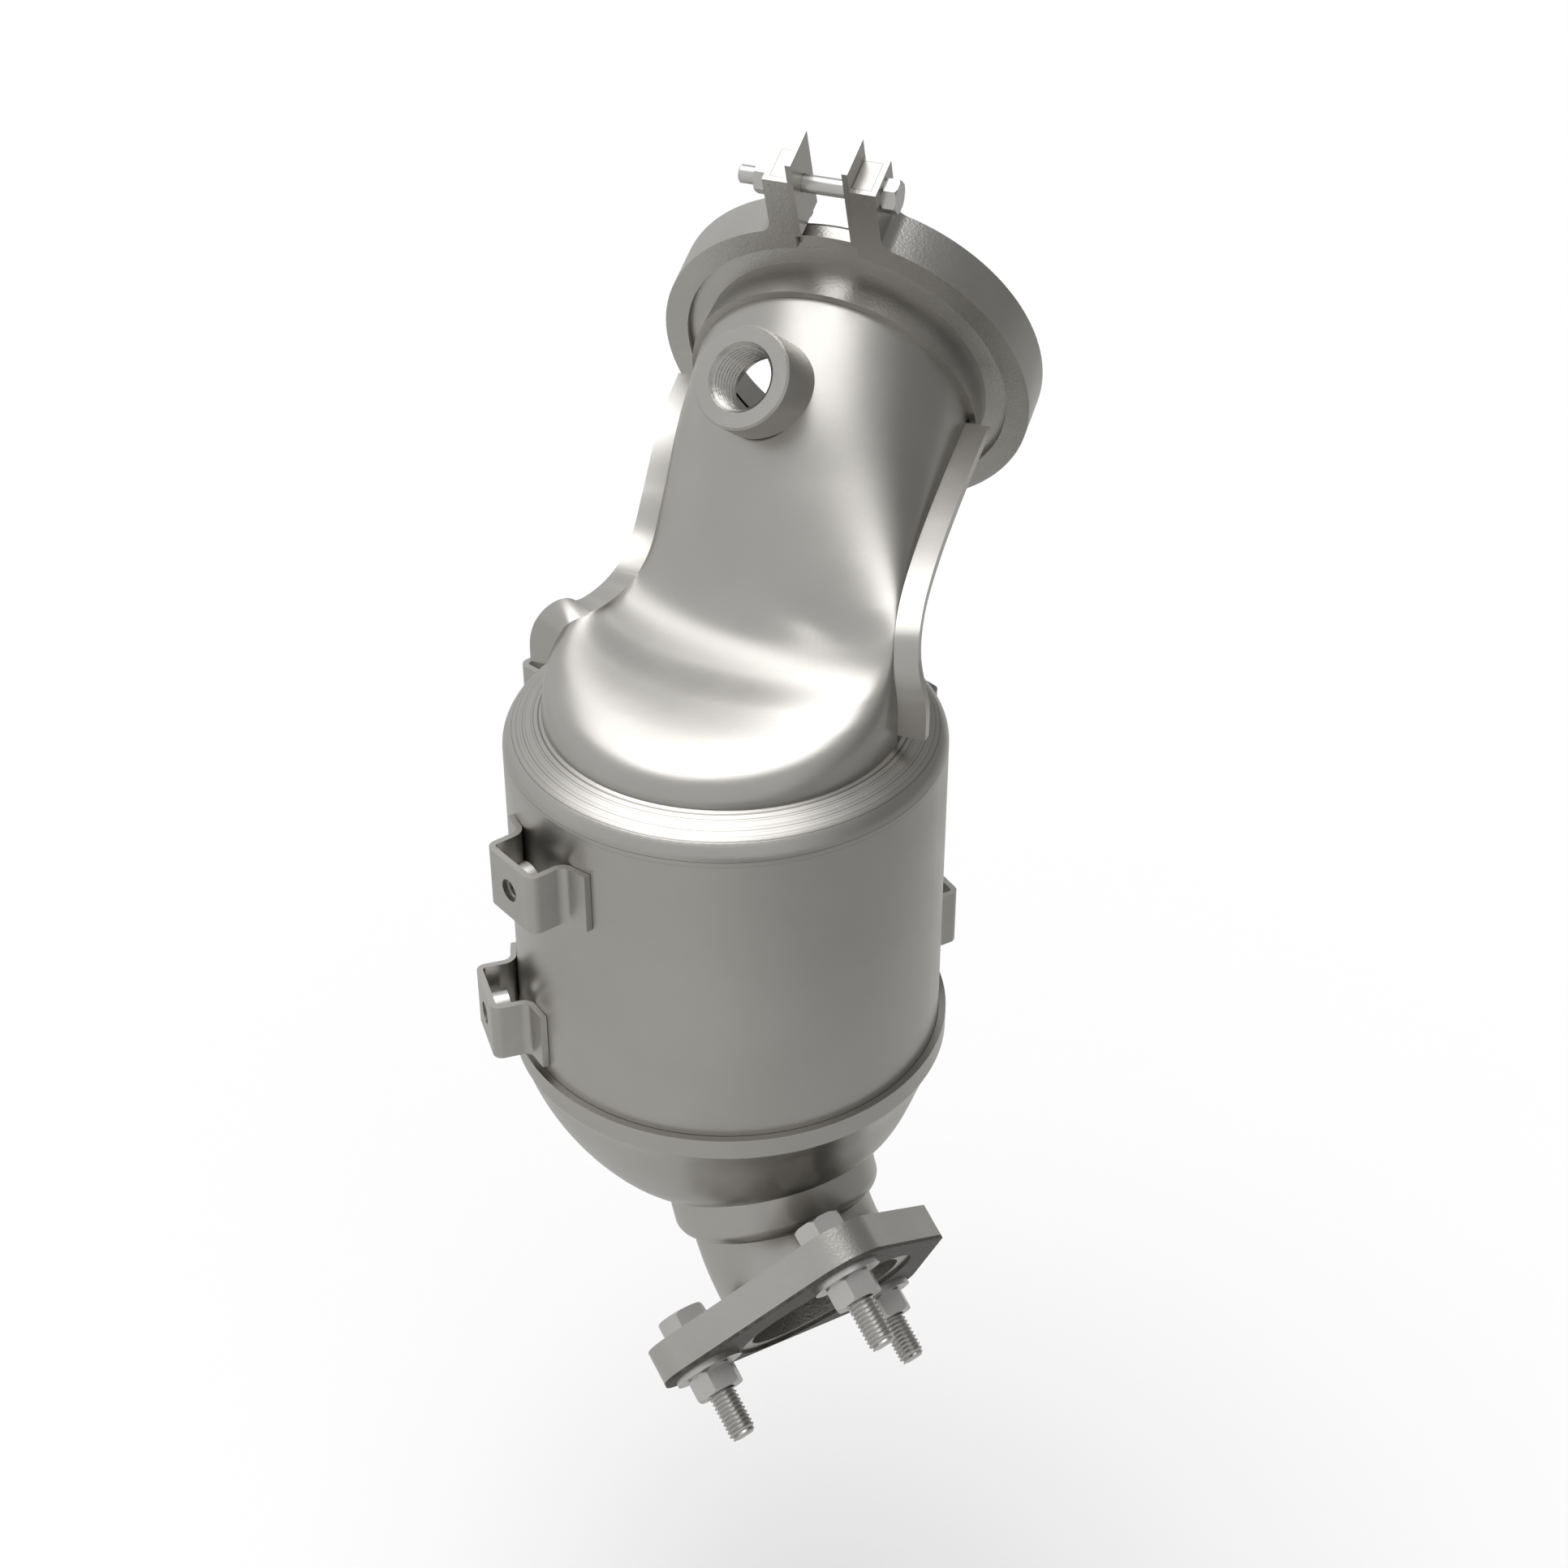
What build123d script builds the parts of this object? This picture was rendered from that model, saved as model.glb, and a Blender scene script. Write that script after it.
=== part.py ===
from build123d import *
import math
import os

# Catalytic converter with a clamped inlet and a three bolt outlet.
# All sizes are in millimetres. The pieces are modelled in the frame of the round can:
# Z runs up its axis, and height 0 is the upper edge of the outlet cone's cup.
# The inlet leans towards +Y. When they are written, all pieces move together,
# so that the origin is the centre of the inlet flange's sealing face.

# Sheet and fits
shell_sheet = 1.5
hood_sheet = 1.5
outlet_sheet = 2.0
slip_fit = 0.1

# Round can
shell_radius = 59.0
shell_corner_height = 92.6
shell_corner_radius = 6.0
shell_mouth_height = 97.6
mat_thickness = 4.8
brick_length = 76.0
brick_bottom_height = 4.0
brick_edge_chamfer = 1.0
mat_end_gap = 3.0

# Outlet cup on the lower end of the shell
cup_depth = 6.0
cup_step_height = 2.5

# Inlet hood, pressed in two halves
skirt_radius = 48.0
skirt_bottom_height = 88.0
dome_height = 112.5
dome_edge_radius = 11.0
crease_radius = 7.5
seam_width = 7.5
seam_rise = 6.5
seam_corner_radius = 11.0
neck_seam_width = 5.0
seam_bottom_height = 100.0

# Neck sections: upper point and lower point in the plane of the bend, and half width
neck_sections = (
    ((-2.0, 102.0), (42.0, 101.0), 36.5),
    ((20.0, 138.0), (70.0, 107.0), 38.0),
    ((44.0, 166.0), (86.0, 108.5), 38.8),
)
# Corners of the seam between the pressed halves, seen from the side
seam_line = ((0.0, 116.0), (40.0, 120.0), (66.5, 142.0))
seam_bend_radius = 12.0

# Inlet flange, a turned ring on the end of the neck
inlet_tilt = 22.87
inlet_reach = 97.98
inlet_rise = 155.27
rim_radius = 49.0
rim_thickness = 4.0
back_slope_drop = 1.6
hub_radius = 41.2
hub_root_radius = 40.6
hub_length = 13.0
socket_depth = 9.0
neck_end_radius = 39.0
inlet_bore_radius = 37.2

# Inlet gasket
gasket_thickness = 1.0
inlet_gasket_radius = 48.6
inlet_gasket_hole_radius = 40.3
tab_count = 3
tab_first_angle = 80.0
tab_height = 2.0
tab_radius = 6.0
tab_blend_radius = 3.0

# Band clamp round the inlet joint
band_sheet = 1.6
band_radius = 53.0
band_wall_depth = 6.5
band_gap = 17.0
band_turn = 1.0
mate_thickness = 4.0
lug_height = 69.0
lug_depth = 7.0
lug_bend_radius = 4.0
lug_block_start = 57.0
plate_sheet = 1.6
plate_start = 50.0
plate_height = 75.0
plate_inset = 0.1
clamp_bolt_height = 63.0
clamp_bolt_radius = 2.4
clamp_bolt_tip = 5.0
clamp_hex_flats = 8.0
clamp_head_height = 4.0
clamp_nut_height = 4.0

# Oxygen sensor boss, M18 x 1.5
bung_radius = 14.0
bung_thread_radius = 8.25
bung_mouth_chamfer = 1.2
bung_edge_chamfer = 0.6
bung_turn = -104.0
bung_lean = 36.2
bung_reach = 48.5
bung_axis_back = 25.0
bung_length = 20.0
bung_hole_clearance = 0.8

# Outlet cone, a lopsided bowl
outlet_turn = -35.2
bowl_top_radius = 59.9
# Bowl sections: offset towards the outlet, depth, radius and tilt
bowl_sections = (
    (2.0, 22.0, 55.0, 6.0),
    (10.0, 38.0, 44.5, 14.0),
)

# Outlet collar, pipe and flange
collar_tilt = 25.7
collar_offset = 19.1
collar_depth = 48.2
collar_radius = 30.0
collar_length = 13.0
collar_round = 4.0
pipe_radius = 26.0
pipe_wall = 2.2
pipe_insert = 4.0
pipe_bend_radius = 32.0
pipe_bend_angle = 33.1
pipe_end_length = 3.4
flange_thickness = 9.8
flange_bore_radius = 23.8
bolt_circle_radius = 40.5
bolt_angles = (2.4, -77.5, 136.0)
ear_radius = 13.0
corner_reach = 36.5
corner_angle = -153.0
corner_round = 2.0

# Outlet fasteners, M8
bolt_radius = 4.0
bolt_hole_clearance = 0.3
bolt_stick_out = 23.3
bolt_tip_chamfer = 0.8
thread_clearance = 0.1
bolt_hex_flats = 13.0
bolt_head_height = 5.5
nut_height = 6.8
washer_radius = 10.0
washer_thickness = 1.8
outlet_gasket_hole_radius = 27.8
outlet_gasket_bolt_radius = 4.8

# Heat shield brackets: name, turn about the can, height of the upper edge
bracket_places = (
    ("front_upper", -121.0, 78.3),
    ("side_lower", -141.5, 20.4),
    ("right_lower", 50.0, 18.0),
    ("left_rear", 157.7, 86.0),
    ("right_rear", 62.0, 78.5),
)
bracket_sheet = 1.7
bracket_reach = 70.0
bracket_width = 20.4
bracket_height = 17.4
bracket_foot = 7.0
bracket_bend = 2.6
bracket_foot_bend = 2.5
weld_nut_radius = 5.6
weld_nut_height = 5.0
weld_nut_thread_radius = 2.5
bracket_hole_radius = 3.1

# Sizes that follow from the driving ones
shell_bore_radius = shell_radius - shell_sheet
mouth_radius = skirt_radius + slip_fit
inlet_axis = Vector(0, math.cos(math.radians(inlet_tilt)), math.sin(math.radians(inlet_tilt)))
inlet_frame = Plane(origin=(0, inlet_reach, inlet_rise), x_dir=(-1, 0, 0), z_dir=inlet_axis)
neck_end = -rim_thickness - hub_length
rim_slope = back_slope_drop / (rim_radius - hub_root_radius)
band_hole_radius = band_radius - band_wall_depth
band_back = -rim_thickness - rim_slope * (rim_radius - band_hole_radius) - slip_fit
band_front = gasket_thickness + mate_thickness + rim_slope * (rim_radius - band_hole_radius) + slip_fit
band_middle = (band_back + band_front) / 2
band_frame = Plane(inlet_frame.location * Rot(0, 0, band_turn))
clamp_bolt_frame = Plane(band_frame.from_local_coords((0, clamp_bolt_height, band_middle)),
                         x_dir=band_frame.z_dir, z_dir=band_frame.x_dir)
half_gap = band_gap / 2
outlet_direction = Vector(math.cos(math.radians(outlet_turn)), math.sin(math.radians(outlet_turn)), 0)
big = 400.0


def outlet_plane(offset, height, tilt):
    """A frame in the plane of the outlet bend, its Z axis tilted from straight down."""
    origin = outlet_direction * offset + Vector(0, 0, height)
    angle = math.radians(tilt)
    down = outlet_direction * math.sin(angle) - Vector(0, 0, math.cos(angle))
    return Plane(origin=origin, x_dir=down.cross(Vector(0, 0, 1)), z_dir=down)


def bend_side(tilt):
    """The direction across the outlet pipe, towards the centre of its bend."""
    angle = math.radians(tilt)
    return outlet_direction * math.cos(angle) + Vector(0, 0, math.sin(angle))


outlet_tilt = collar_tilt + pipe_bend_angle
collar_frame = outlet_plane(collar_offset, -collar_depth, collar_tilt)
bend_start = collar_frame.origin + collar_frame.z_dir * collar_length
bend_centre = bend_start + bend_side(collar_tilt) * pipe_bend_radius
bend_end = bend_centre - bend_side(outlet_tilt) * pipe_bend_radius
flange_down = outlet_plane(0, 0, outlet_tilt).z_dir
flange_top = bend_end + flange_down * pipe_end_length
flange_frame = Plane(origin=flange_top, x_dir=flange_down.cross(Vector(0, 0, 1)), z_dir=flange_down)


def placed(shape, frame):
    """The shape moved from its own frame to its place on the can."""
    return frame.location * shape


def turned(points, frame=Plane.XY):
    """A closed outline of (radius, height) points turned about the frame's Z axis."""
    outline = make_face(Polyline(*[(r, 0, h) for r, h in points], close=True))
    return placed(revolve(outline, Axis.Z), frame)


def tube(outer, inner, bottom, top, frame=Plane.XY):
    """A plain ring between two heights on the frame's Z axis."""
    return placed(Pos(0, 0, bottom) * extrude(Circle(outer) - Circle(inner), top - bottom), frame)


def rod(radius, bottom, top, frame=Plane.XY):
    """A plain cylinder between two heights on the frame's Z axis."""
    return placed(Pos(0, 0, bottom) * extrude(Circle(radius), top - bottom), frame)


def block(x, y, z):
    """A box given by its lowest and highest value on each axis."""
    size = (x[1] - x[0], y[1] - y[0], z[1] - z[0])
    return Pos(x[0], y[0], z[0]) * Box(*size, align=(Align.MIN, Align.MIN, Align.MIN))


def hexagon(flats, height):
    """A hexagonal prism with the corners of both ends turned off."""
    corner = flats / math.sqrt(3)
    prism = extrude(RegularPolygon(flats / 2, 6, major_radius=False), height)
    barrel = Pos(0, 0, height / 2) * Cylinder(corner, height)
    return prism & chamfer(barrel.edges().filter_by(GeomType.CIRCLE), (corner - flats / 2) * 0.8)


def canister_shell():
    """The rolled shell, spun down at its upper end to the hood's skirt."""
    slope = (shell_mouth_height - shell_corner_height) / (shell_radius - mouth_radius)

    def body(inset, bottom):
        radius = shell_radius - inset
        corner = shell_corner_height - inset * math.sqrt(1 + slope ** 2) + inset * slope
        form = turned([(0, bottom), (radius, bottom), (radius, corner), (0, corner + slope * radius)])
        edge = form.edges().filter_by(GeomType.CIRCLE).sort_by(Axis.Z)[-1]
        return fillet(edge, shell_corner_radius - inset)
    return body(0, -cup_depth) - body(shell_sheet, -cup_depth - shell_sheet) - rod(mouth_radius, 0, big)


def catalyst_brick():
    """The ceramic monolith that carries the catalyst."""
    radius = shell_bore_radius - mat_thickness - 2 * slip_fit
    brick = rod(radius, brick_bottom_height, brick_bottom_height + brick_length)
    return chamfer(brick.edges().filter_by(GeomType.CIRCLE), brick_edge_chamfer)


def support_mat():
    """The swelling mat that grips the monolith in the shell."""
    outer = shell_bore_radius - slip_fit
    bottom = brick_bottom_height + mat_end_gap
    top = brick_bottom_height + brick_length - mat_end_gap
    return tube(outer, outer - mat_thickness, bottom, top)


def neck(inset):
    """The neck from inside the dome to the inlet flange, a loft of ovals."""
    ovals = []
    for upper, lower, half_width in neck_sections:
        high = Vector(0, *upper)
        low = Vector(0, *lower)
        across = (high - low).cross(Vector(-1, 0, 0))
        frame = Plane(origin=(high + low) / 2, x_dir=(1, 0, 0), z_dir=across)
        ovals.append(frame * Ellipse(half_width - inset, (high - low).length / 2 - inset))
    ovals.append(inlet_frame.offset(neck_end) * Circle(neck_end_radius - inset))
    return loft(ovals) + rod(neck_end_radius - inset, neck_end, neck_end + socket_depth, inlet_frame)


def dome(radius, bottom, top, edge_radius):
    """A round skirt closed by a flat top with a round shoulder."""
    body = rod(radius, bottom, top)
    return fillet(body.edges().sort_by(Axis.Z)[-1], edge_radius)


def hood(inset, bottom):
    """The whole form of the inlet hood, smaller by the inset on every side."""
    body = dome(skirt_radius - inset, bottom, dome_height - inset, dome_edge_radius - inset)
    return creased(body + neck(inset), dome_height - inset, crease_radius + inset)


def creased(body, top, radius):
    """A dome and neck with the hollow line where they meet rounded."""
    crease = [edge for edge in body.edges().filter_by(GeomType.BSPLINE)
              if edge.bounding_box().max.Z < top + crease_radius / 2]
    return fillet(crease, radius)


def space_before_seam(shift):
    """All the space in front of the hood's seam, its edge moved forwards by the shift."""
    far = inlet_frame.origin + inlet_axis * big / 4
    foot = (seam_line[0][0], seam_line[0][1] - big / 4)
    line = FilletPolyline(foot, *seam_line, (far.Y, far.Z), radius=seam_bend_radius)
    if shift:
        line = line.offset_2d(abs(shift), side=Side.LEFT if shift > 0 else Side.RIGHT, closed=False)
    low, high = sorted((line @ 0, line @ 1), key=lambda point: point.Y)
    around = Polyline(high, (high.X, high.Y + big), (low.X - big, high.Y + big), (low.X - big, low.Y), low)
    side_view = Plane.YZ.location * make_face([*line.edges(), *around.edges()])
    return extrude(side_view, big / 4, both=True)


def seam_strip(back, front):
    """One sheet of the hood's seam flange, between two offsets from the seam."""
    sheet = space_before_seam(back) - space_before_seam(front)
    top = dome_height + seam_rise
    wide = dome(skirt_radius + seam_width, skirt_bottom_height, top, seam_corner_radius)
    wide = creased(wide + neck(-neck_seam_width), top, crease_radius)
    above_shell = block((-big, big), (-big, big), (seam_bottom_height, big))
    before_hub = rod(big, neck_end - big, neck_end - slip_fit, inlet_frame)
    return (wide & sheet & above_shell & before_hub) - hood(0, skirt_bottom_height)


def sensor_frame():
    """The frame on the face of the sensor boss, its Z axis pointing out."""
    turn, lean = math.radians(bung_turn), math.radians(bung_lean)
    out = Vector(math.cos(lean) * math.cos(turn), math.cos(lean) * math.sin(turn), math.sin(lean))
    foot = inlet_frame.origin - inlet_axis * bung_axis_back
    return Plane(origin=foot + out * bung_reach, z_dir=out)


def sensor_bung():
    """The boss for the oxygen sensor, welded on the neck, with a plain bore at thread size."""
    bung = rod(bung_radius, -bung_length, 0, sensor_frame())
    rim = bung.edges().filter_by(GeomType.CIRCLE).sort_by(Axis.Z)[-1]
    bung = chamfer(rim, bung_edge_chamfer) - hood(0, skirt_bottom_height)
    bung -= rod(bung_thread_radius, -bung_length, 1, sensor_frame())
    mouth = placed(Cone(bung_thread_radius, bung_thread_radius + bung_mouth_chamfer + 1, bung_mouth_chamfer + 1,
                        align=(Align.CENTER, Align.CENTER, Align.MIN)), sensor_frame().offset(-bung_mouth_chamfer))
    return bung - mouth


def inlet_cones():
    """The front and rear halves of the hood, each pressed from sheet with its seam flange."""
    shell = hood(0, skirt_bottom_height) - hood(hood_sheet, skirt_bottom_height - hood_sheet)
    shell -= rod(neck_end_radius - hood_sheet, neck_end + 1, big, inlet_frame)
    shell -= rod(bung_thread_radius + bung_hole_clearance, -bung_length, 0, sensor_frame())
    space = space_before_seam(0)
    return (shell & space) + seam_strip(0, hood_sheet), (shell - space) + seam_strip(-hood_sheet, 0)


def inlet_flange():
    """The turned ring on the neck: a rim for the clamp, a hub and a socket."""
    step = neck_end + socket_depth + slip_fit
    socket = neck_end_radius + slip_fit
    ring = turned([(inlet_bore_radius, 0), (rim_radius, 0), (rim_radius, -rim_thickness),
                   (hub_root_radius, -rim_thickness - back_slope_drop), (hub_radius, neck_end),
                   (socket, neck_end), (socket, step), (inlet_bore_radius, step)], inlet_frame)
    return ring


def inlet_gasket():
    """The thin ring on the flange's face, with shallow tabs that centre it."""
    hole = Circle(inlet_gasket_hole_radius)
    centre = inlet_gasket_hole_radius - tab_height + tab_radius
    for index in range(tab_count):
        hole -= Rot(0, 0, tab_first_angle + index * 360 / tab_count) * Pos(centre, 0) * Circle(tab_radius)
    hole = fillet(hole.vertices(), tab_blend_radius)
    return placed(extrude(Circle(inlet_gasket_radius) - hole, gasket_thickness), inlet_frame)


def bolt_hole():
    """The hole for the clamp's screw, across the whole clamp."""
    return Pos(0, clamp_bolt_height, band_middle) * Rot(0, 90, 0) * Cylinder(clamp_bolt_radius + slip_fit, big)


def clamp_band():
    """The channel round the joint, with both ends turned outwards into hollow lugs."""
    side = half_gap + lug_depth
    outline = Circle(band_radius) + Pos(0, lug_height / 2) * Rectangle(2 * side, lug_height)
    outline = fillet(outline.vertices().sort_by(Axis.Y)[:2], lug_bend_radius)
    outline -= Circle(band_hole_radius) + Pos(0, big / 2) * Rectangle(band_gap, big)
    room = Circle(band_radius - band_sheet) + Pos(0, big / 2) * Rectangle(2 * (side - band_sheet), big)
    low, high = band_back - band_sheet, band_front + band_sheet
    band = Pos(0, 0, low) * extrude(outline, high - low) - Pos(0, 0, band_back) * extrude(room, band_front - band_back)
    return placed(band - bolt_hole(), band_frame)


def lug_block(side):
    """The block that fills a lug, so that the bolt can't crush it."""
    start, end = half_gap + plate_inset, half_gap + lug_depth - band_sheet - slip_fit
    solid = block((start, end), (lug_block_start, lug_height), (band_back + slip_fit, band_front - slip_fit))
    solid -= bolt_hole()
    return placed(solid if side > 0 else mirror(solid, Plane.YZ), band_frame)


def lug_plate(side):
    """The flat plate on the gap side of a lug, taller than the lug itself."""
    solid = block((half_gap - plate_sheet, half_gap), (plate_start, plate_height),
                  (band_back - band_sheet, band_front + band_sheet))
    solid -= bolt_hole()
    return placed(solid if side > 0 else mirror(solid, Plane.YZ), band_frame)


def clamp_bolt():
    """The long screw through both lugs, its head on the right as the can is seen from the front."""
    outside = half_gap + lug_depth
    shank = rod(clamp_bolt_radius, -outside, outside + clamp_nut_height + clamp_bolt_tip)
    tip = shank.edges().filter_by(GeomType.CIRCLE).sort_by(Axis.Z)[-1]
    head = Pos(0, 0, -outside - clamp_head_height) * hexagon(clamp_hex_flats, clamp_head_height)
    return placed(chamfer(tip, bolt_tip_chamfer / 2) + head, clamp_bolt_frame)


def clamp_nut():
    """The nut on the far end of the clamp's screw."""
    nut = hexagon(clamp_hex_flats, clamp_nut_height) - rod(clamp_bolt_radius + thread_clearance, -1, big)
    return placed(Pos(0, 0, half_gap + lug_depth) * nut, clamp_bolt_frame)


def bowl(inset, start):
    """The lopsided bowl of the outlet cone, a loft of circles that tip towards the outlet."""
    circles = [Pos(0, 0, start) * Circle(bowl_top_radius - inset)]
    for offset, depth, radius, tilt in bowl_sections:
        circles.append(outlet_plane(offset, -depth, tilt) * Circle(radius - inset))
    circles.append(collar_frame * Circle(collar_radius - inset))
    return loft(circles)


def outlet_cone():
    """The pressed bowl under the can, its cup drawn up round the shell's lower end."""
    inner = shell_radius + slip_fit
    bottom = -cup_depth - cup_step_height - slip_fit
    top = -cup_depth - slip_fit
    step = turned([(bowl_top_radius - outlet_sheet, top), (inner + outlet_sheet, top),
                   (bowl_top_radius, bottom), (bowl_top_radius - outlet_sheet, bottom)])
    cup = tube(inner + outlet_sheet, inner, top, 0)
    walls = bowl(0, bottom) - bowl(outlet_sheet, bottom)
    return cup + step + walls


def outlet_collar():
    """The drawn ring between the bowl and the outlet pipe."""
    form = rod(collar_radius, 0, collar_length)
    form = fillet(form.edges().filter_by(GeomType.CIRCLE).sort_by(Axis.Z)[-1], collar_round)
    hollow = rod(collar_radius - outlet_sheet, -1, collar_length - outlet_sheet)
    hollow = fillet(hollow.edges().filter_by(GeomType.CIRCLE).sort_by(Axis.Z)[-1], collar_round - outlet_sheet)
    return placed(form - hollow - rod(pipe_radius + slip_fit, 0, big), collar_frame)


def outlet_pipe():
    """The short bent tube from the collar to the flange."""
    ring = Circle(pipe_radius) - Circle(pipe_radius - pipe_wall)
    start = collar_frame.offset(collar_length - pipe_insert)
    straight = placed(extrude(ring, pipe_insert), start)
    section = placed(ring, collar_frame.offset(collar_length))
    bend_axis = Axis(bend_centre, collar_frame.x_dir)
    end = placed(extrude(ring, pipe_end_length), flange_frame.offset(-pipe_end_length))
    return straight + revolve(section, bend_axis, pipe_bend_angle) + end


def bolt_spots():
    """The three bolt centres on the outlet flange."""
    return [(bolt_circle_radius * math.cos(math.radians(a)), bolt_circle_radius * math.sin(math.radians(a)))
            for a in bolt_angles]


def flange_outline():
    """The outline of the outlet flange: three round ears and one blunt corner."""
    corner = (corner_reach * math.cos(math.radians(corner_angle)), corner_reach * math.sin(math.radians(corner_angle)))
    rounds = [Pos(x, y) * Circle(ear_radius) for x, y in bolt_spots()]
    rounds.append(Pos(*corner) * Circle(corner_round))
    return make_hull([edge for shape in rounds for edge in shape.edges()])


def outlet_flange():
    """The thick plate on the pipe's end."""
    plate = flange_outline() - Circle(flange_bore_radius)
    for x, y in bolt_spots():
        plate -= Pos(x, y) * Circle(bolt_radius + bolt_hole_clearance)
    return placed(extrude(plate, flange_thickness), flange_frame)


def outlet_gasket():
    """The thin gasket under the outlet flange."""
    sheet = flange_outline() - Circle(outlet_gasket_hole_radius)
    for x, y in bolt_spots():
        sheet -= Pos(x, y) * Circle(outlet_gasket_bolt_radius)
    return placed(extrude(sheet, gasket_thickness), flange_frame.offset(flange_thickness))


def at_bolts(solid, depth):
    """One copy of a fastener on each bolt centre, at a depth under the flange's top."""
    return [placed(Pos(x, y, depth) * solid, flange_frame) for x, y in bolt_spots()]


def flange_bolts():
    """Three hexagon bolts, their heads on the flange's upper side."""
    shank = rod(bolt_radius, 0, flange_thickness + bolt_stick_out)
    tip = shank.edges().filter_by(GeomType.CIRCLE).sort_by(Axis.Z)[-1]
    head = Pos(0, 0, -bolt_head_height) * hexagon(bolt_hex_flats, bolt_head_height)
    return at_bolts(chamfer(tip, bolt_tip_chamfer) + head, 0)


def flange_washers():
    """Three plain washers under the gasket."""
    return at_bolts(tube(washer_radius, bolt_radius + bolt_hole_clearance, 0, washer_thickness),
                    flange_thickness + gasket_thickness)


def flange_nuts():
    """Three hexagon nuts under the washers."""
    nut = hexagon(bolt_hex_flats, nut_height) - rod(bolt_radius + thread_clearance, -1, big)
    return at_bolts(nut, flange_thickness + gasket_thickness + washer_thickness)


def bracket_frame(turn, top):
    """The frame of a bracket: X points out from the can, Z up, and the upper edge is at height 0."""
    angle = math.radians(turn)
    return Plane(origin=(0, 0, top), x_dir=(math.cos(angle), math.sin(angle), 0), z_dir=(0, 0, 1))


def hat_outline(inset, foot_radius):
    """One side of the folded strip: a disc of the feet's radius with the hat standing on it."""
    reach, width = bracket_reach - inset, bracket_width - 2 * inset
    hat = Pos(reach / 2, 0) * Rectangle(reach, width)
    hat = fillet(hat.vertices().sort_by(Axis.X)[-2:], bracket_bend - inset)
    outline = hat + Circle(foot_radius)
    corners = [v for v in outline.vertices() if abs(abs(v.Y) - width / 2) < slip_fit and 0 < v.X < reach - bracket_bend]
    return fillet(corners, bracket_foot_bend + inset)


def shield_bracket(turn, top):
    """A folded strip: two feet on the shell, two legs and a crown with a screw hole."""
    seat = shell_radius + slip_fit
    section = hat_outline(0, seat + bracket_sheet) - hat_outline(bracket_sheet, seat)
    feet = Pos(bracket_reach / 2, 0) * Rectangle(bracket_reach, bracket_width + 2 * bracket_foot)
    form = Pos(0, 0, -bracket_height) * extrude(section & feet, bracket_height)
    hole = Cylinder(bracket_hole_radius, 4 * bracket_sheet)
    form -= Pos(bracket_reach, 0, -bracket_height / 2) * Rot(0, 90, 0) * hole
    return placed(form, bracket_frame(turn, top))


def weld_nut(turn, top):
    """The round nut welded behind a bracket's crown, bored at thread size."""
    nut = tube(weld_nut_radius, weld_nut_thread_radius, 0, weld_nut_height)
    reach = bracket_reach - bracket_sheet - weld_nut_height
    return placed(Pos(reach, 0, -bracket_height / 2) * Rot(0, 90, 0) * nut, bracket_frame(turn, top))


def save(name, *solids):
    """Writes one node, moved so that the inlet face's centre is the origin."""
    move = Pos(*(-inlet_frame.origin))
    moved = [move * solid for solid in solids]
    export_step(moved[0] if len(moved) == 1 else Compound(children=moved), f"parts/{name}.step")


os.makedirs("parts", exist_ok=True)
cone_front, cone_rear = inlet_cones()
save("inlet_flange", inlet_flange())
save("inlet_gasket", inlet_gasket())
save("inlet_cone_front", cone_front)
save("inlet_cone_rear", cone_rear)
save("sensor_bung", sensor_bung())
save("clamp_band", clamp_band())
save("clamp_bolt", clamp_bolt())
save("clamp_nut", clamp_nut())
for name, side in (("left", 1), ("right", -1)):
    save(f"clamp_block_{name}", lug_block(side))
    save(f"clamp_plate_{name}", lug_plate(side))
save("canister_shell", canister_shell())
save("support_mat", support_mat())
save("catalyst_brick", catalyst_brick())
save("outlet_cone", outlet_cone())
save("outlet_collar", outlet_collar())
save("outlet_pipe", outlet_pipe())
save("outlet_flange", outlet_flange())
save("outlet_gasket", outlet_gasket())
save("flange_bolts", *flange_bolts())
save("flange_washers", *flange_washers())
save("flange_nuts", *flange_nuts())
for name, turn, top in bracket_places:
    save(f"bracket_{name}", shield_bracket(turn, top))
save("bracket_weld_nuts", *[weld_nut(turn, top) for name, turn, top in bracket_places])
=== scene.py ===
import math
import bpy
from mathutils import Matrix, Vector


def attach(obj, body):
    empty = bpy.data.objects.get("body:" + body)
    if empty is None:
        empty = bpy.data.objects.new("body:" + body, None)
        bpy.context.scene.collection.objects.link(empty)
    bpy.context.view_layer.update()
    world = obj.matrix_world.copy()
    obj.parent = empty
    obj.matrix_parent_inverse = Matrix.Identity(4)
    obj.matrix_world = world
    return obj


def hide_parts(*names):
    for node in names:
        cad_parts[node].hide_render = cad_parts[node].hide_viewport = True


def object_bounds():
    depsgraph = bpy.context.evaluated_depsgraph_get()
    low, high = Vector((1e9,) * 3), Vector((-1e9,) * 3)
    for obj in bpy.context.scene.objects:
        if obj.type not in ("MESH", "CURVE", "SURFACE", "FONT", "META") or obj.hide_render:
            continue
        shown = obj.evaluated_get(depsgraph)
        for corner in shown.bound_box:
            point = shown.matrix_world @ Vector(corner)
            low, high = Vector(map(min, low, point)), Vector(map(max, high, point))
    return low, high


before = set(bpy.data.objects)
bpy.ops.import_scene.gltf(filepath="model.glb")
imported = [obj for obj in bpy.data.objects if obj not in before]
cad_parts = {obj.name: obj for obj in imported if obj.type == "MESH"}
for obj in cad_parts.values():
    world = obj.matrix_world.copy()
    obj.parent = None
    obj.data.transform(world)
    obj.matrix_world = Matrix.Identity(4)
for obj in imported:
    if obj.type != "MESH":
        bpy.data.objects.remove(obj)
cad_low, cad_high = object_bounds()

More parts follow.
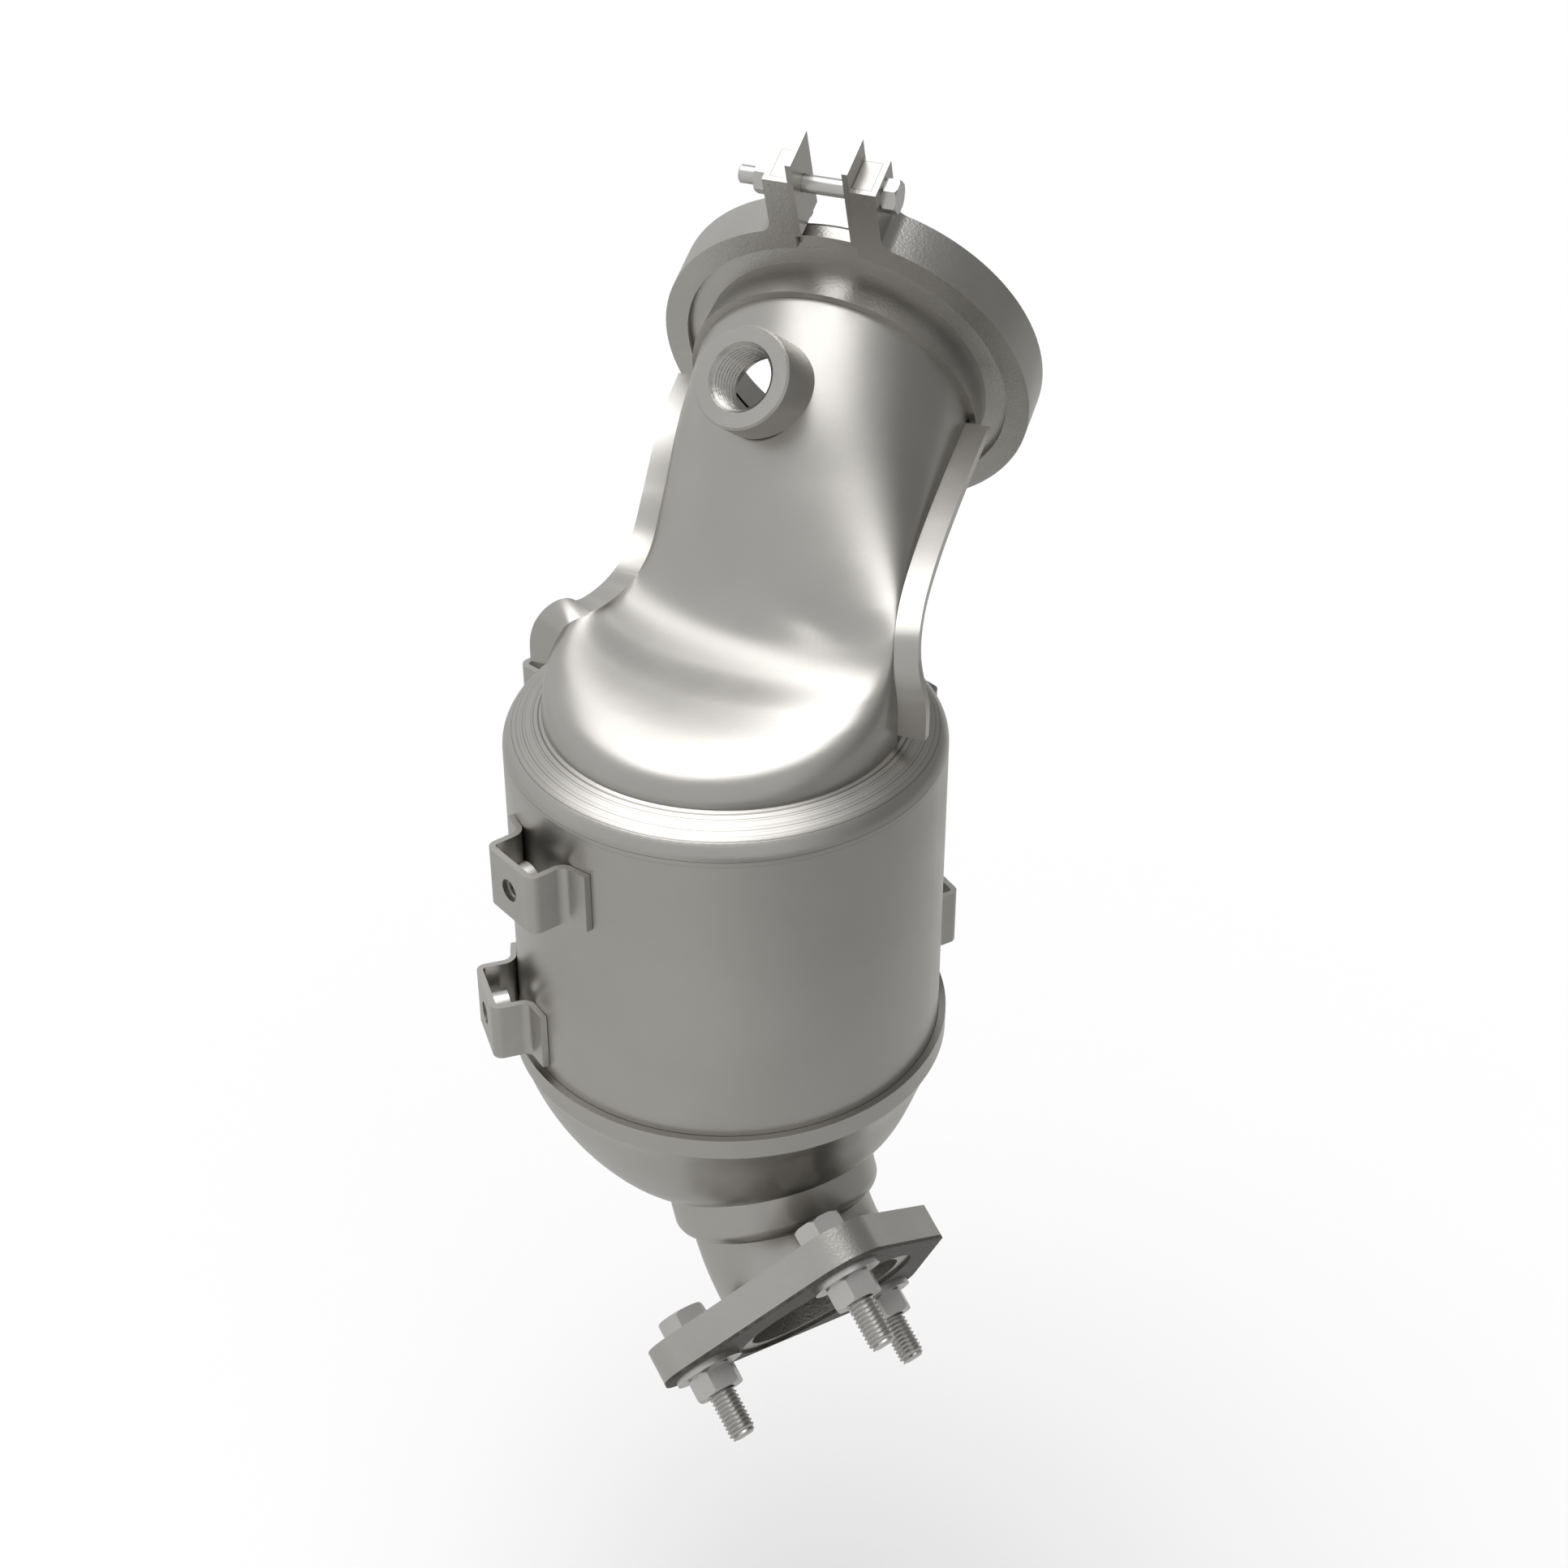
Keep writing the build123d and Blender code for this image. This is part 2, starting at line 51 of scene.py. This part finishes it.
# Camera: the photograph's viewpoint, found from the can's ellipses and the flange's outline.
# A long lens on a 36 mm sensor looks down on the part from the front right.
camera_data = bpy.data.cameras.new("camera")
camera_data.lens = 61.378
camera_data.sensor_width = 36.0
camera_data.clip_start = 0.01
camera = bpy.data.objects.new("camera", camera_data)
bpy.context.scene.collection.objects.link(camera)
right = Vector((0.9366735, 0.3502037, 0.0002845))
up = Vector((-0.1974470, 0.5274309, 0.8263361))
ahead = Vector((-0.2892359, 0.7740633, -0.5631772))
turned = Matrix((right, up, -ahead)).transposed().to_4x4()
camera.matrix_world = Matrix.Translation((0.2215865, -0.6471400, 0.3210053)) @ turned
bpy.context.scene.camera = camera
bpy.context.scene.view_settings.view_transform = "Standard"

# Floor and light: a pale sweep under the part, and a studio with a bright lamp overhead, as for a
# product photograph. To all rays but the camera's the floor darkens to the right, a painted shade
# that the steel reflects, and the room's light is darker to the right and behind.


class Field:
    """One output of a node tree. Arithmetic on it adds Math or Vector Math nodes."""

    def __init__(self, tree, socket):
        self.tree = tree
        self.socket = socket

    def node(self, kind, settings, inputs, output=0):
        """Adds any other node: its type, its settings, then its inputs by name or number."""
        made = self.tree.nodes.new(kind)
        for name, value in settings.items():
            setattr(made, name, value)
        for name, value in inputs.items():
            if isinstance(value, Field):
                self.tree.links.new(value.socket, made.inputs[name])
            else:
                made.inputs[name].default_value = value
        return Field(self.tree, made.outputs[output])

    def sum(self, operation, first, second):
        """One step of arithmetic, on vectors if either side is one."""
        values = [value for value in (first, second) if isinstance(value, Field)]
        vectors = any(value.socket.type == "VECTOR" for value in values)
        kind = "ShaderNodeVectorMath" if vectors else "ShaderNodeMath"
        return self.node(kind, {"operation": operation}, {0: first, 1: second})

    def __add__(self, other):
        return self.sum("ADD", self, other)

    def __radd__(self, other):
        return self.sum("ADD", other, self)

    def __sub__(self, other):
        return self.sum("SUBTRACT", self, other)

    def __rsub__(self, other):
        return self.sum("SUBTRACT", other, self)

    def __mul__(self, other):
        return self.sum("MULTIPLY", self, other)

    def __rmul__(self, other):
        return self.sum("MULTIPLY", other, self)

    def __pow__(self, other):
        return self.sum("POWER", self, other)

    def part(self, axis):
        """The X, Y or Z of a vector."""
        return self.node("ShaderNodeSeparateXYZ", {}, {0: self}, axis)

    def ramp(self, low, high, start=0.0, end=1.0):
        """Maps the value smoothly from low..high to start..end, held beyond both."""
        settings = {"interpolation_type": "SMOOTHSTEP"}
        inputs = {0: self, 1: low, 2: high, 3: start, 4: end}
        return self.node("ShaderNodeMapRange", settings, inputs)

    def blend(self, first, second):
        """A colour between two, by this value."""
        low, high = (end if isinstance(end, Field) else (*end, 1) for end in (first, second))
        return self.node("ShaderNodeMix", {"data_type": "RGBA"}, {0: self, 6: low, 7: high}, 2)

    def noise(self, scale, detail=3.0, roughness=0.5):
        """Soft noise about 0.5 at this place, its features one over the scale in metres."""
        inputs = {"Vector": self, "Scale": scale, "Detail": detail, "Roughness": roughness}
        return self.node("ShaderNodeTexNoise", {}, inputs)


def finish_of(name):
    """A new material: itself, its shader and the object's own coordinates, which are metres."""
    made = bpy.data.materials.new(name)
    made.use_nodes = True
    tree = made.node_tree
    place = Field(tree, tree.nodes.new("ShaderNodeTexCoord").outputs["Object"])
    return made, tree.nodes["Principled BSDF"], place


def plug(field, shader, name):
    """Feeds a value or a colour to one of the shader's sockets."""
    field.tree.links.new(field.socket, shader.inputs[name])


bpy.ops.object.select_all(action="DESELECT")
bpy.ops.mesh.primitive_plane_add(size=12.0, location=(0, 0, cad_low.z - 0.12))
floor = bpy.context.object
floor.name = "floor"
floor_finish, shader, place = finish_of("floor_paper")
shader.inputs["Roughness"].default_value = 0.9
shader.inputs["Specular IOR Level"].default_value = 0.0
# Painted shade: for rays other than the camera's, the floor darkens from 0.62 to 0.36 between x 0.05
# and 0.6 m.
painted_floor_shade = place.part(0).ramp(0.05, 0.6).blend((0.62, 0.62, 0.61), (0.36, 0.36, 0.36))
seen = Field(place.tree, place.tree.nodes.new("ShaderNodeLightPath").outputs["Is Camera Ray"])
plug(seen.blend(painted_floor_shade, (0.98, 0.98, 0.98)), shader, "Base Color")
floor.data.materials.append(floor_finish)

world = bpy.data.worlds.new("studio")
bpy.context.scene.world = world
world.use_nodes = True
sky = world.node_tree
way = Field(sky, sky.nodes.new("ShaderNodeTexCoord").outputs["Generated"])
lamp = (way.part(2) * 0.97 - way.part(0) * 0.2 + way.part(1) * 0.1).ramp(0.84, 0.975)
lamp_strength = 3.3
room = (way.part(0) * 0.75 + way.part(1) * 0.65).ramp(0.05, 0.75, 0.72, 0.26)
seen = Field(sky, sky.nodes.new("ShaderNodeLightPath").outputs["Is Camera Ray"])
studio_light = room * (1.0 - lamp) + lamp * lamp_strength
sky.nodes["Background"].inputs["Color"].default_value = (1.0, 1.0, 1.0, 1.0)
plug(seen + (1.0 - seen) * studio_light, sky.nodes["Background"], "Strength")

# Can: satin sheet rolled and welded, its shoulder spun inwards to the hood and rolled out at the
# mouth. The spinning roller left fine rings on the shoulder and dark lines at its two edges. The
# rings' grooves are also darkened in the colour, a painted shade in their recesses.
noise_span = (0.3, 0.7)
can_axis_y = -0.09798
shoulder_from, shoulder_to = -0.0690, -0.0655
ring_scale = 2300.0
ring_wander = 0.0006
# The colour of the painted shade in the valleys of the rings' grooves.
groove_shade_colour = (0.15, 0.145, 0.135)
sheet_dark, sheet_pale = (0.455, 0.442, 0.418), (0.485, 0.472, 0.448)


def bump(height, shader, strength, depth):
    """Gives the shader a fine relief of the height, the depth in metres."""
    inputs = {"Strength": strength, "Distance": depth, "Height": height}
    plug(height.node("ShaderNodeBump", {}, inputs), shader, "Normal")


def paint(material, *names):
    """Gives CAD nodes one material all over."""
    for name in names:
        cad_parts[name].data.materials.clear()
        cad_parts[name].data.materials.append(material)


can_steel, shader, place = finish_of("spun_sheet")
across = place.part(0)
along = place.part(1) - can_axis_y
radius = (across * across + along * along) ** 0.5
height = place.part(2)
shoulder = height.ramp(shoulder_from, shoulder_to)
ring_place = radius + height * 0.6 + place.noise(9.0, 1.0) * ring_wander
groove = place.node("ShaderNodeTexNoise", {"noise_dimensions": "1D"},
                    {"W": ring_place, "Scale": ring_scale, "Detail": 3.0})
plain = place.noise(28.0, 4.0).ramp(*noise_span).blend(sheet_dark, sheet_pale)
# Painted shade: where the groove noise is low, the valleys of the bump, the colour goes most of the
# way to the shade colour.
plug((groove.ramp(0.44, 0.30) * shoulder * 0.75).blend(plain, groove_shade_colour), shader, "Base Color")
shader.inputs["Metallic"].default_value = 1.0
plug(place.noise(60.0).ramp(*noise_span, 0.29, 0.34), shader, "Roughness")
bump(groove * shoulder + place.noise(900.0, 3.0, 0.6) * 0.15, shader, 0.4, 0.00012)
paint(can_steel, "canister_shell")

# Brick and mat: extruded cordierite with square channels about a millimetre wide, and the pale
# pressed fibre that holds it in the can. They are seen only through the inlet and the outlet.
ceramic, shader, place = finish_of("cordierite")
channels = {"Vector": place, "Scale": 900.0, "Mortar Size": 0.12,
            "Brick Width": 1.0, "Row Height": 1.0}
cells = place.node("ShaderNodeTexBrick", {"offset": 0.0}, channels, 1)
# Painted shade: the channels' openings are coloured near black for the shade in the deep holes; the
# thin walls between them keep the ceramic's pale colour.
plug(cells.blend((0.05, 0.04, 0.03), (0.5, 0.45, 0.37)), shader, "Base Color")
plug(place.noise(400.0).ramp(*noise_span, 0.8, 0.95), shader, "Roughness")
bump(cells, shader, 0.6, 0.0003)
paint(ceramic, "catalyst_brick")

fibre, shader, place = finish_of("fibre_mat")
fluff = (place * (1.0, 1.0, 3.0)).noise(700.0, 5.0, 0.7)
plug(fluff.ramp(*noise_span).blend((0.6, 0.56, 0.49), (0.76, 0.72, 0.65)), shader, "Base Color")
plug(fluff.ramp(*noise_span, 0.85, 1.0), shader, "Roughness")
bump(fluff, shader, 0.7, 0.0003)
paint(fibre, "support_mat")

# Hood: two halves pressed from satin sheet, with a flange all along their seam, welded there and
# on the can. The skirt's round flows up over the crown and sweeps back into the oval neck, and the
# press left a shallow dimple at the neck's root. Its sizes are in millimetres from the can's foot.
hood_sheet = 1.5
fold_width = 1.2
lip_width, lip_narrowing = 7.5, 1.1
narrow_from, narrow_to = 108, 122
lip_foot = 100
lip_end = -17.5
skin_columns = 49
hood_rows = 150
row_reach = 0.008
hub_depths = (-17.0, -8.5)
hub_radius = 39.0
dimple_x, dimple_z = 22, 125
dimple_width, dimple_height = 120, 14
dimple_push = Vector((0, 1.6, -0.4))
neck_back = 40
port_radius, port_length = 9.05, 30
inlet_face = Vector((0, 97.98, 155.27))
inlet_axis = Vector((0, 0.921389, 0.388642))
inlet_up = Vector((0, -0.388642, 0.921389))
front_line = [(0, -48, 88), (0, -48, 94.5), (0.3, -47.5, 100), (1.2, -43, 104.8),
              (2.5, -33, 108.2), (4, -19, 110.9), (5, -6, 113), (5.5, 3.5, 117),
              (5.5, 10.5, 124.5), (5, 18.5, 135.5), (4, 30, 150.3), (2.5, 44, 166)]
left_seam = [(-48, 0, 88), (-48, 0, 95), (-48, 0, 101.5), (-47.6, 0, 107.5),
             (-45.3, 0.5, 112), (-41, 3, 113.8), (-37.6, 9, 114.4), (-35.6, 18, 115),
             (-35.1, 28, 116.2), (-35.2, 37.5, 120.5), (-35.8, 48, 130), (-37.2, 63, 142)]
right_seam = [(48, 0, 88), (48, 0, 95), (48, 0, 101.5), (48, 0, 107.5),
              (47.5, 0, 112.5), (46.7, 0.3, 117), (45.7, 2, 121.5), (44.5, 6, 126.3),
              (43.2, 13.5, 130.8), (42, 25, 134.8), (40.8, 40, 138.5), (39.7, 60, 143)]
back_line = [(0, 48, 88), (0, 48, 92.5), (0.3, 48.4, 96), (1.2, 49.8, 98.9),
             (2.5, 52.5, 101), (4, 56, 102.7), (5, 60, 104.2), (5.5, 64.5, 105.5),
             (5.5, 69, 106.6), (5, 74, 107.5), (4, 80, 108.1), (2.5, 86, 108.6)]
for depth in hub_depths:
    centre = inlet_face + inlet_axis * depth
    front_line.append(centre + inlet_up * hub_radius)
    left_seam.append(centre - Vector((hub_radius, 0, 0)))
    right_seam.append(centre + Vector((hub_radius, 0, 0)))
    back_line.append(centre - inlet_up * hub_radius)


def steel_finish(name, dark, pale, rough, grain, depth):
    """Satin steel: two near tones that drift into each other, and a fine grain."""
    made, shader, place = finish_of(name)
    plug(place.noise(28.0, 4.0).ramp(*noise_span).blend(dark, pale), shader, "Base Color")
    shader.inputs["Metallic"].default_value = 1.0
    plug(place.noise(60.0).ramp(*noise_span, rough - 0.025, rough + 0.025), shader, "Roughness")
    bump(place.noise(grain, 3.0, 0.6), shader, 0.3, depth)
    return made


def smooth_step(value, low, high):
    """Rises smoothly from 0 at low to 1 at high."""
    share = min(1.0, max(0.0, (value - low) / (high - low)))
    return share * share * (3 - 2 * share)


def on_line(points, share):
    """The point of a smooth curve through the points, at a share of their count."""
    step = share * (len(points) - 1)
    index = min(int(step), len(points) - 2)
    t = step - index
    last = len(points) - 1
    a, b, c, d = (Vector(points[min(max(index + n, 0), last)]) for n in (-1, 0, 1, 2))
    square, cube = 2 * a - 5 * b + 4 * c - d, 3 * b - a - 3 * c + d
    return b + ((c - a) * t + square * t * t + cube * t ** 3) / 2


def seam_edge(seam, side, share, half):
    """Where a half's skin meets its seam flange, and the flange's outer edge beside it."""
    run = on_line(seam, min(1.0, share + row_reach)) - on_line(seam, max(0.0, share - row_reach))
    climb = Vector((0, run.y, run.z))
    edge = on_line(seam, share)
    past_hub = smooth_step((edge - inlet_face).dot(inlet_axis), lip_end, lip_end + 2)
    parted = hood_sheet * (smooth_step(edge.z, lip_foot - 5, lip_foot - 0.5) - past_hub)
    edge = edge - Vector((0, -climb.z, climb.y)).normalized() * (half * parted)
    out = (Vector((climb.length, 0, 0)) - climb.normalized() * run.x).normalized() * side
    return edge, edge + out * (lip_width - lip_narrowing * smooth_step(edge.z, narrow_from, narrow_to))


def hood_row(share, half):
    """One row of a half's outside, from flange edge to flange edge. Half -1 is the front."""
    crest = on_line(front_line if half < 0 else back_line, share)
    left, left_lip = seam_edge(left_seam, -1, share, half)
    right, right_lip = seam_edge(right_seam, 1, share, half)
    middle = (left + right) / 2
    row = [left_lip]
    for step in range(skin_columns):
        angle = math.pi * step / (skin_columns - 1)
        across = (right - left) / 2 * math.cos(angle)
        row.append(middle - across + (crest - middle) * math.sin(angle))
    return row + [right_lip]


def hold(made):
    """Makes one piece the only selected one, and active."""
    bpy.ops.object.select_all(action="DESELECT")
    made.select_set(True)
    bpy.context.view_layer.objects.active = made


def choose(made, mode, test):
    """Selects the vertices or edges that pass a test on their place, in edit mode."""
    bpy.ops.object.mode_set(mode="EDIT")
    bpy.ops.mesh.select_mode(type=mode)
    bpy.ops.mesh.select_all(action="DESELECT")
    bpy.ops.object.mode_set(mode="OBJECT")
    mesh = made.data
    if mode == "VERT":
        for vertex in mesh.vertices:
            vertex.select = test(vertex.co)
    if mode == "EDGE":
        for edge in mesh.edges:
            edge.select = test(*(mesh.vertices[end].co for end in edge.vertices))
    bpy.ops.object.mode_set(mode="EDIT")


def finish_piece(made, material, *nodes):
    """Gives a piece its material, lets it ride and stand for CAD nodes."""
    bpy.ops.object.mode_set(mode="OBJECT")
    hold(made)
    bpy.ops.object.shade_smooth_by_angle(angle=math.radians(32))
    made.data.materials.clear()
    made.data.materials.append(material)
    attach(made, "root")
    for node in nodes:
        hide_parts(node)


def put(made, start, direction):
    """Stands a piece that was made along Z at a place, and settles it into its mesh."""
    turn = direction.to_track_quat("Z", "Y").to_matrix().to_4x4()
    made.matrix_world = Matrix.Translation(start) @ turn
    hold(made)
    bpy.ops.object.transform_apply(location=True, rotation=True, scale=True)


def cut_with(made, cutter):
    """Cuts a hole in a piece with another shape, which is used up."""
    hold(made)
    cut = made.modifiers.new("cut", "BOOLEAN")
    cut.object = cutter
    cut.solver = "EXACT"
    cut.operation = "DIFFERENCE"
    bpy.ops.object.modifier_apply(modifier="cut")
    bpy.data.objects.remove(cutter)


def hood_half(name, half):
    """A pressed half of the hood: its skin and its seam flange, folded from one sheet."""
    rows = [hood_row(index / hood_rows, half) for index in range(hood_rows + 1)]

    def column(corner):
        return round((corner.x + 0.5) * (skin_columns + 1))

    def pressed_place(corner):
        return rows[round((corner.y + 0.5) * hood_rows)][column(corner)]

    def beyond_flange(corner):
        place = pressed_place(corner)
        past_hub = (place - inlet_face).dot(inlet_axis) > lip_end
        return column(corner) in (0, skin_columns + 1) and (place.z < lip_foot or past_hub)

    bpy.ops.object.select_all(action="DESELECT")
    bpy.ops.mesh.primitive_grid_add(x_subdivisions=skin_columns + 1, y_subdivisions=hood_rows,
                                    size=1)
    made = bpy.context.object
    made.name = name
    choose(made, "VERT", beyond_flange)
    bpy.ops.mesh.delete(type="VERT")
    bpy.ops.mesh.select_all(action="SELECT")
    if half > 0:
        bpy.ops.mesh.flip_normals()
    bpy.ops.object.mode_set(mode="OBJECT")
    for vertex in made.data.vertices:
        place = pressed_place(vertex.co)
        if half < 0 and place.y < neck_back:
            across = (place.x - dimple_x) ** 2 / dimple_width
            above = (place.z - dimple_z) ** 2 / dimple_height
            place = place + dimple_push * math.exp(-(across + above))
        vertex.co = (place - inlet_face) / 1000
    fold = made.modifiers.new("fold", "BEVEL")
    fold.limit_method = "ANGLE"
    fold.angle_limit = math.radians(18)
    fold.width = fold_width / 1000
    fold.segments = 3
    bpy.ops.object.modifier_apply(modifier="fold")
    sheet = made.modifiers.new("sheet", "SOLIDIFY")
    sheet.thickness = hood_sheet / 1000
    sheet.offset = -1
    bpy.ops.object.modifier_apply(modifier="sheet")
    return made


pressed = steel_finish("pressed_sheet", (0.46, 0.447, 0.423), (0.49, 0.477, 0.453),
                       rough=0.31, grain=900.0, depth=0.00004)
boss_face = Vector((-0.009468, -0.06101, 0.018928))
boss_axis = Vector((-0.195221, -0.78299, 0.590606))
front = hood_half("hood_front", -1)
bpy.ops.mesh.primitive_cylinder_add(radius=port_radius / 1000, depth=port_length / 1000,
                                    vertices=64, location=(0, 0, 0))
port = bpy.context.object
put(port, boss_face - boss_axis * 0.02, boss_axis)
cut_with(front, port)
finish_piece(front, pressed, "inlet_cone_front")
rear = hood_half("hood_rear", 1)
finish_piece(rear, pressed, "inlet_cone_rear")

# Sensor boss: turned steel with an M18 x 1.5 thread, welded on the neck.
# Its face has the fine pebbled grain of a cold formed blank.
sensor_core, sensor_crest, sensor_pitch = 0.00815, 0.0090, 0.0015
sensor_thread_depth, sensor_thread_length = 0.0175, 0.018


def copy_of(node, name):
    """A merged copy of a CAD node, selected and active, that can be shaped."""
    made = bpy.data.objects.new(name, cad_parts[node].data.copy())
    bpy.context.scene.collection.objects.link(made)
    hold(made)
    bpy.ops.object.mode_set(mode="EDIT")
    bpy.ops.mesh.select_all(action="SELECT")
    bpy.ops.mesh.remove_doubles(threshold=0.000002)
    bpy.ops.mesh.customdata_custom_splitnormals_clear()
    bpy.ops.object.mode_set(mode="OBJECT")
    return made


def thread_form(name, core, crest, pitch, length):
    """A threaded rod from Z 0 to its length, its ridge wound as a helix and its ends cut square."""
    bpy.ops.object.mode_set(mode="OBJECT")
    bpy.ops.object.select_all(action="DESELECT")
    bpy.ops.mesh.primitive_plane_add(size=0.01)
    made = bpy.context.object
    made.name = name
    bpy.ops.object.mode_set(mode="EDIT")
    bpy.ops.mesh.delete(type="ONLY_FACE")
    bpy.ops.object.mode_set(mode="OBJECT")
    corners = ((core, 0), (core, pitch), (crest, pitch * 0.44), (crest, pitch * 0.56))
    for vertex, (reach, rise) in zip(made.data.vertices, corners):
        vertex.co = (reach, 0, rise - pitch)
    choose(made, "EDGE", lambda a, b: abs(abs(a.z - b.z) - pitch) < pitch * 0.01)
    bpy.ops.mesh.delete(type="EDGE_FACE")
    bpy.ops.object.mode_set(mode="OBJECT")
    winding = made.modifiers.new("winding", "SCREW")
    winding.axis = "Z"
    winding.steps = 24
    winding.render_steps = 24
    winding.screw_offset = pitch
    winding.iterations = int(length / pitch) + 3
    winding.use_merge_vertices = True
    bpy.ops.object.modifier_apply(modifier="winding")
    bpy.ops.object.mode_set(mode="EDIT")
    for cut, inner in ((0.0, True), (length, False)):
        bpy.ops.mesh.select_all(action="SELECT")
        bpy.ops.mesh.remove_doubles(threshold=0.000002)
        bpy.ops.mesh.bisect(plane_co=(0, 0, cut), plane_no=(0, 0, 1), use_fill=True,
                            clear_inner=inner, clear_outer=not inner)
    bpy.ops.mesh.select_all(action="SELECT")
    bpy.ops.mesh.normals_make_consistent(inside=False)
    bpy.ops.object.mode_set(mode="OBJECT")
    return made


grained = steel_finish("grained_steel", (0.47, 0.457, 0.433), (0.51, 0.497, 0.473),
                       rough=0.34, grain=1200.0, depth=0.00035)
boss = copy_of("sensor_bung", "sensor_boss")
tap = thread_form("tap", sensor_core, sensor_crest, sensor_pitch, sensor_thread_length)
put(tap, boss_face - boss_axis * sensor_thread_depth, boss_axis)
cut_with(boss, tap)
finish_piece(boss, grained, "sensor_bung")

# Inlet flange and its gasket: a turned ring with a rim for the clamp, and a flat ring of coated
# steel sheet on its face.
paint(grained, "inlet_flange")
coated, shader, place = finish_of("coated_sheet")
drift = place.noise(70.0).ramp(*noise_span)
plug(drift.blend((0.115, 0.115, 0.113), (0.135, 0.135, 0.132)), shader, "Base Color")
shader.inputs["Metallic"].default_value = 0.4
plug(place.noise(150.0).ramp(*noise_span, 0.5, 0.6), shader, "Roughness")
bump(place.noise(1200.0, 3.0, 0.6), shader, 0.3, 0.00004)
paint(coated, "inlet_gasket")

# Clamp: a pressed channel of sheet with lugs, blocks and plates cut from strip, and a plated screw
# with its nut across the gap.
strip = steel_finish("strip_steel", (0.46, 0.447, 0.423), (0.50, 0.487, 0.463),
                     rough=0.33, grain=1500.0, depth=0.00005)
plated = steel_finish("plated_steel", (0.58, 0.572, 0.555), (0.64, 0.632, 0.615),
                      rough=0.29, grain=2000.0, depth=0.00004)
paint(grained, "clamp_band")
paint(strip, "clamp_plate_left", "clamp_plate_right", "clamp_block_left", "clamp_block_right")
paint(plated, "clamp_bolt", "clamp_nut")

# Outlet: a pressed bowl, a short collar and a bent pipe of the same satin sheet as the hood,
# welded in a row.
paint(pressed, "outlet_cone", "outlet_collar", "outlet_pipe")

# Outlet flange: thick plate cut to three ears, with a graphite gasket, three bolts pressed
# through it from above, and their washers and nuts. The bolts have an M8 x 1.25 thread.
flange_top = Vector((0.032607, -0.120982, -0.23044))
flange_normal = Vector((0.698957, -0.49306, -0.518027))
flange_x = Vector((-0.57644, -0.81716, 0.0))
flange_y = Vector((-0.42331, 0.29861, -0.85538))
bolt_turns = (2.4, -77.5, 136.0)
bolt_reach = 0.0405
bolt_core, bolt_crest, bolt_pitch = 0.0033, 0.00398, 0.00125
thread_start, thread_length = 0.009, 0.0239
tip_length, tip_scale = 0.0009, 0.86
paint(grained, "outlet_flange")
graphite, shader, place = finish_of("graphite")
streak = (place * (1.0, 0.25, 1.0)).noise(420.0, 3.0, 0.6)
plug(streak.ramp(0.35, 0.75).blend((0.05, 0.047, 0.043), (0.12, 0.112, 0.1)), shader, "Base Color")
shader.inputs["Metallic"].default_value = 0.3
plug(streak.ramp(*noise_span, 0.45, 0.62), shader, "Roughness")
bump(streak, shader, 0.4, 0.00006)
paint(graphite, "outlet_gasket")
paint(plated, "flange_nuts", "flange_washers")

bolts = copy_of("flange_bolts", "flange_bolt_set")
bpy.ops.object.mode_set(mode="EDIT")
bpy.ops.mesh.select_all(action="SELECT")
bpy.ops.mesh.bisect(plane_co=flange_top + flange_normal * thread_start, plane_no=flange_normal,
                    use_fill=True, clear_outer=True)
bpy.ops.object.mode_set(mode="OBJECT")
parts = [bolts]
for angle in bolt_turns:
    turn = math.radians(angle)
    centre = flange_top + (flange_x * math.cos(turn) + flange_y * math.sin(turn)) * bolt_reach
    thread = thread_form("bolt_thread", bolt_core, bolt_crest, bolt_pitch, thread_length)
    choose(thread, "VERT", lambda place: place.z > thread_length - tip_length)
    bpy.ops.transform.resize(value=(tip_scale, tip_scale, 1), center_override=(0, 0, 0))
    bpy.ops.object.mode_set(mode="OBJECT")
    put(thread, centre + flange_normal * thread_start, flange_normal)
    parts.append(thread)
hold(bolts)
for part in parts:
    part.select_set(True)
bpy.ops.object.join()
finish_piece(bolts, plated, "flange_bolts")

# Heat shield brackets: folded strip with two feet welded to the can, and a round nut welded
# behind the hole in each crown.
paint(strip, "bracket_front_upper", "bracket_side_lower", "bracket_right_lower",
      "bracket_left_rear", "bracket_right_rear")
paint(plated, "bracket_weld_nuts")
